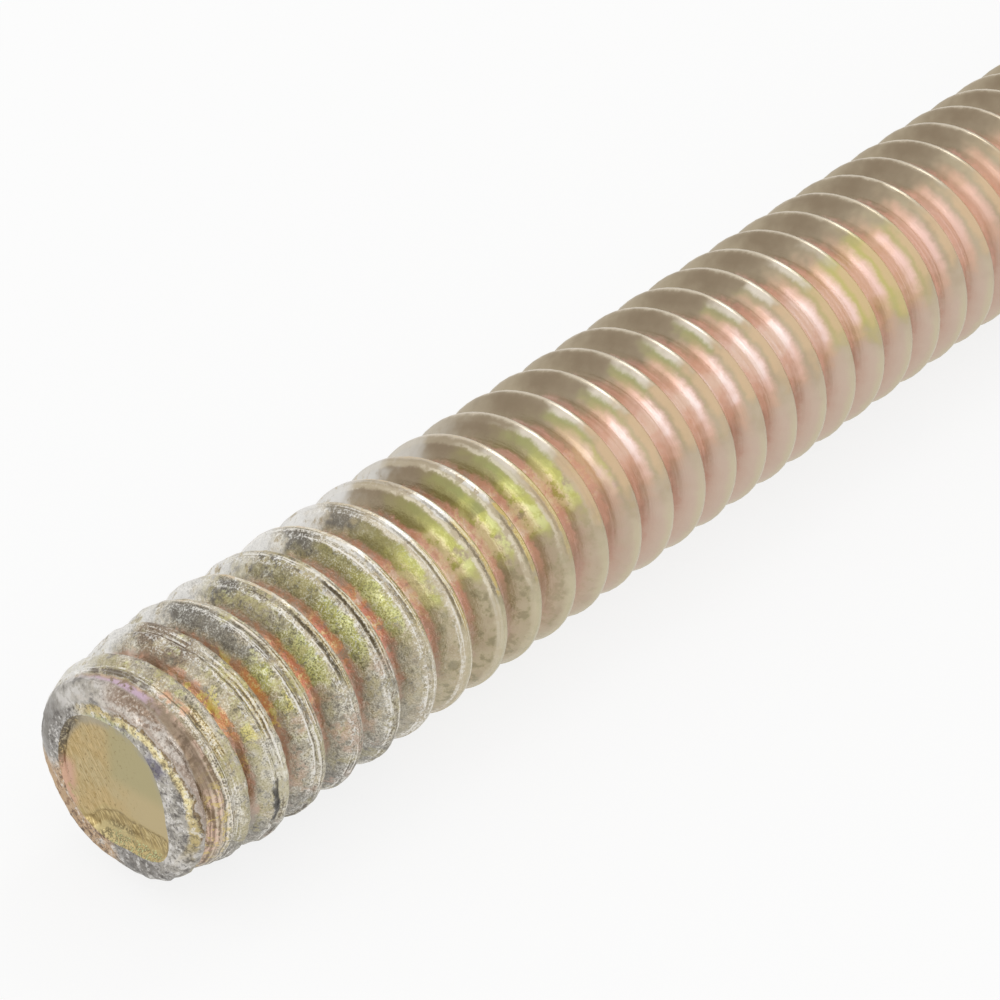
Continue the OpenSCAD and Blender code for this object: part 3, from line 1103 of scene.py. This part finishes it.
@dataclass(frozen=True)
class ShearedSteel(LayeredFinish):
    """The sheared end face, chromated olive over fine shear marks and a torn lower edge."""

    base: str = "#BFAE86"
    roughness: float = 0.4
    # Shear marks lie the way the blade went, down the face, about 0.05 mm apart
    pattern_table = {
        "marks": Pattern(0.032, 3.0, 0.6, (1.0, 1.0, 7.0), math.radians(-32)),
        "hatch": Pattern(0.032, 2.0, 0.5, (1.0, 1.0, 8.0), math.radians(-32)),
        "specks": Pattern(0.07, 3.0, 0.6),
        "blotch": Pattern(0.7, 4.0, 0.62),
        "grain": Pattern(0.05, 1.5, 0.6),
    }
    coats: tuple[Coat, ...] = (
        Coat("#C1A878", (Band("blotch", 0.38, 0.58), Band("left", -0.8, 0.2)), 0.75),
        Coat("#B0A67F", (Band("high", -0.1, 0.3), Band("left", 0.3, -0.1)), 0.9),
        Coat("#A68C55", (Band("marks", 0.48, 0.6), Band("left", -0.3, 0.5)), 0.6),
        Coat("#DCC392", (Band("marks", 0.46, 0.36), Band("left", -0.3, 0.5)), 0.5),
        Coat("#D2A994", (Band("left", 0.85, 1.1), Band("high", 0.2, -0.1),
                         Band("blotch", 0.36, 0.46)), 0.85),
        Coat("#846F44", (Band("specks", 0.58, 0.66), Band("left", -0.9, 0.2)), 0.6),
        Coat("#A6A192", (Band("edge", 1.14, 1.32), Band("high", 0.1, 0.5),
                         Band("blotch", 0.4, 0.54)), 0.7),
        # Torn steel below the break line, hatched first and gold further down
        Coat("#C2AE7C", (Band("torn", -0.06, 0.06),), 0.9),
        Coat("#8A7650", (Band("torn", -0.04, 0.14), Band("torn", 0.56, 0.4),
                         Band("hatch", 0.42, 0.56)), 0.65),
        Coat("#D9C896", (Band("torn", 0.0, 0.1), Band("torn", 0.56, 0.4),
                         Band("hatch", 0.44, 0.34)), 0.6),
        Coat("#C9B98A", (Band("torn", 0.34, 0.42), Band("left", -0.5, -0.1)), 0.85),
        Coat("#5C4E33", (Band("torn", 0.26, 0.4), Band("torn", 0.54, 0.42),
                         Band("left", 0.35, 0.1), Band("left", -0.7, -0.3),
                         Band("grain", 0.4, 0.52)), 0.65),
        Coat("#6A6049", (Band("torn", 0.5, 0.62), Band("grain", 0.44, 0.54)), 0.8),
        Coat("#D3D7A2", (Band("torn", 0.46, 0.56), Band("grain", 0.55, 0.61),
                         Band("left", 0.3, 0.0)), 0.7),
        # Painted shade in the gap under the rolled rim on the left
        Coat("#5A5249", (Band("edge", 1.1, 1.34), Band("side", 0.85, 1.12),
                         Band("grain", 0.36, 0.54)), 0.85),
    )

    def material(self) -> bpy.types.Material:
        """Build the material.

        Returns:
            The material, which reads Object coordinates only.
        """
        made = bpy.data.materials.new("sheared_steel_face")
        made.use_nodes = True
        sheet = NodeSheet(made.node_tree)
        place = sheet.add("ShaderNodeTexCoord").outputs["Object"]
        # Patterns are drawn in millimetres
        point = sheet.add(
            "ShaderNodeVectorMath", {0: place, "Scale": 1 / MM}, operation="SCALE"
        ).outputs["Vector"]
        axes = sheet.add("ShaderNodeSeparateXYZ", {0: point}).outputs
        flat = sheet.add(
            "ShaderNodeVectorMath", {0: point, 1: (0.0, 1.0, 1.0)}, operation="MULTIPLY"
        ).outputs["Vector"]
        edge = sheet.add(
            "ShaderNodeVectorMath", {0: flat}, operation="LENGTH"
        ).outputs["Value"]
        side = sheet.add(
            "ShaderNodeVectorMath", {0: flat, 1: (0.0, 0.77, 0.35)}, operation="DOT_PRODUCT"
        ).outputs["Value"]
        patterns = self.patterns(sheet, point, self.pattern_table)
        # How far below the break line, which lies 0.5 mm under the axis and drops on the left
        drop = sheet.add(
            "ShaderNodeMapRange",
            {"Value": axes["Y"], "From Min": 0.2, "From Max": 0.75, "To Min": -0.72,
             "To Max": -1.12},
            interpolation_type="SMOOTHSTEP",
        ).outputs[0]
        below = sheet.add(
            "ShaderNodeMath", {0: drop, 1: axes["Z"]}, operation="SUBTRACT"
        ).outputs[0]
        torn = sheet.add(
            "ShaderNodeMath", {0: patterns["blotch"], 1: 0.3, 2: below}, operation="MULTIPLY_ADD"
        ).outputs[0]
        measures = {
            "left": axes["Y"], "high": axes["Z"], "edge": edge, "side": side, "torn": torn,
            **patterns,
        }
        colour = self.paint(sheet, measures, self.base, self.coats)
        first = sheet.add(
            "ShaderNodeBump",
            {"Strength": 0.4, "Distance": 0.01 * MM, "Height": patterns["marks"]},
        ).outputs[0]
        normal = sheet.add(
            "ShaderNodeBump",
            {"Strength": 0.35, "Distance": 0.01 * MM, "Height": patterns["grain"],
             "Normal": first},
        ).outputs[0]
        surface = sheet.add(
            "ShaderNodeBsdfPrincipled",
            {"Base Color": colour, "Metallic": 1.0, "Roughness": self.roughness,
             "Normal": normal},
        )
        sheet.add("ShaderNodeOutputMaterial", {"Surface": surface.outputs[0]})
        return made


@dataclass
class ThreadedRod:
    """The whole object: one rod, its rolled thread and its two sheared ends."""

    thread: RolledThread
    centre: Vector

    def build(self) -> bpy.types.Object:
        """Build the rod, dress it and put it on its body.

        Returns:
            The finished piece.
        """
        end = ShearedEnd(self.thread)
        rod = RodMesh(thread=self.thread, end=end).build(self.centre)
        rod.data.materials.append(YellowChromate(self.thread).material())
        rod.data.materials.append(ShearedSteel().material())
        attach(rod, BODY)
        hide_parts(NODE)
        return rod


@dataclass
class Studio:
    """A white floor, a white surround and soft lamps."""

    floor_height: float
    floor_size: float = 3.0
    floor_colour: str = "#F6F6F5"
    shadow_share: float = 0.18
    ambient: float = 0.85

    def build(self) -> None:
        """Make the floor, the world and the lamps."""
        self.build_floor()
        self.build_world()
        # Direction from the rod, distance, size, watts
        self.add_lamp("side_softbox", Vector((-0.98, -0.12, 0.21)), 0.5, 0.22, 0.27)
        self.add_lamp("back_lamp", Vector((0.62, 0.16, 0.76)), 0.5, 0.14, 0.2)

    def seen_directly(self, sheet: NodeSheet) -> bpy.types.NodeSocket:
        """Return 1 for camera, glossy and transmission rays, and 0 for the light on things."""
        path = sheet.add("ShaderNodeLightPath").outputs
        seen = path["Is Camera Ray"]
        for other in ("Is Glossy Ray", "Is Transmission Ray"):
            seen = sheet.add(
                "ShaderNodeMath", {0: seen, 1: path[other]}, operation="MAXIMUM"
            ).outputs[0]
        return seen

    def build_floor(self) -> None:
        """Lay the floor under the rod, white to the camera but with the rod's shadow."""
        shape = bmesh.new()
        bmesh.ops.create_grid(shape, x_segments=1, y_segments=1, size=self.floor_size / 2)
        bmesh.ops.translate(shape, vec=(0, 0, self.floor_height), verts=shape.verts)
        mesh = bpy.data.meshes.new("floor")
        shape.to_mesh(mesh)
        shape.free()
        floor = bpy.data.objects.new("floor", mesh)
        bpy.context.scene.collection.objects.link(floor)
        paper = bpy.data.materials.new("white_paper")
        paper.use_nodes = True
        sheet = NodeSheet(paper.node_tree)
        matt = sheet.add("ShaderNodeBsdfDiffuse", {"Color": linear(self.floor_colour)})
        bright = sheet.add("ShaderNodeEmission", {"Strength": 1.0})
        share = sheet.add(
            "ShaderNodeMath",
            {0: self.seen_directly(sheet), 1: 1 - self.shadow_share},
            operation="MULTIPLY",
        ).outputs[0]
        mixed = sheet.add(
            "ShaderNodeMixShader", {0: share, 1: matt.outputs[0], 2: bright.outputs[0]}
        )
        sheet.add("ShaderNodeOutputMaterial", {"Surface": mixed.outputs[0]})
        mesh.materials.append(paper)

    def build_world(self) -> None:
        """Surround the rod with white, and light it with a plainer level."""
        world = bpy.data.worlds.new("studio")
        bpy.context.scene.world = world
        world.use_nodes = True
        sheet = NodeSheet(world.node_tree)
        strength = sheet.add(
            "ShaderNodeMapRange",
            {"Value": self.seen_directly(sheet), "To Min": self.ambient, "To Max": 1.0},
        ).outputs[0]
        sky = sheet.add(
            "ShaderNodeBackground", {"Color": (1.0, 1.0, 1.0, 1.0), "Strength": strength}
        )
        sheet.add("ShaderNodeOutputWorld", {"Surface": sky.outputs[0]})

    def add_lamp(
        self, name: str, direction: Vector, distance: float, size: float, watts: float
    ) -> None:
        """Hang a square softbox that faces the rod.

        Args:
            name: the lamp's name.
            direction: from the rod towards the lamp.
            distance: from the rod to the lamp, in metres.
            size: the lamp's side, in metres.
            watts: the lamp's power.
        """
        lamp = bpy.data.lights.new(name, "AREA")
        lamp.size = size
        lamp.energy = watts
        held = bpy.data.objects.new(name, lamp)
        held.location = direction.normalized() * distance
        held.rotation_euler = direction.to_track_quat("Z", "Y").to_euler()
        bpy.context.scene.collection.objects.link(held)


@dataclass
class PhotoCamera:
    """The camera, placed so that the shown end face lies where the photograph has it."""

    azimuth: float = math.radians(-50.7)
    elevation: float = math.radians(33.1)
    lens: float = 140.8
    sensor: float = 36.0
    image_side: float = 1000.0
    end_pixel: tuple[float, float] = (112.0, 785.0)
    end_distance: float = 70.8

    def build(self, end_face: Vector) -> None:
        """Place the camera and make it the scene's.

        Args:
            end_face: the middle of the shown end face, in metres.
        """
        forward = Vector(
            (
                -math.sin(self.azimuth) * math.cos(self.elevation),
                math.cos(self.azimuth) * math.cos(self.elevation),
                -math.sin(self.elevation),
            )
        )
        right = forward.cross(Vector((0, 0, 1))).normalized()
        up = right.cross(forward)
        focal = self.lens / self.sensor * self.image_side
        across, down = (pixel - self.image_side / 2 for pixel in self.end_pixel)
        ray = forward + right * (across / focal) - up * (down / focal)
        lens = bpy.data.cameras.new("photo_camera")
        lens.lens = self.lens
        lens.sensor_width = self.sensor
        lens.clip_start = MM
        camera = bpy.data.objects.new("photo_camera", lens)
        camera.location = end_face - ray * self.end_distance * MM
        camera.rotation_euler = (-forward).to_track_quat("Z", "Y").to_euler()
        bpy.context.scene.collection.objects.link(camera)
        bpy.context.scene.camera = camera


def main() -> None:
    """Build the rod, its stage and its camera, and log the rod's triangles and the floor's height.
    """
    logging.basicConfig(level=logging.INFO, format="%(name)s: %(message)s")
    low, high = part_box(NODE)
    centre = (low + high) / 2
    thread = RolledThread(length=(high.x - low.x) / MM, crest_radius=(high.z - low.z) / 2 / MM)
    rod = ThreadedRod(thread=thread, centre=centre).build()
    log.info("%s has %d triangles", rod.name, len(rod.data.polygons))
    Studio(floor_height=low.z).build()
    log.info("the floor lies at %.2f mm", low.z / MM)
    PhotoCamera().build(Vector((low.x, centre.y, centre.z)))
    bpy.context.scene.view_settings.view_transform = "Standard"


if __name__ == "__main__":
    main()
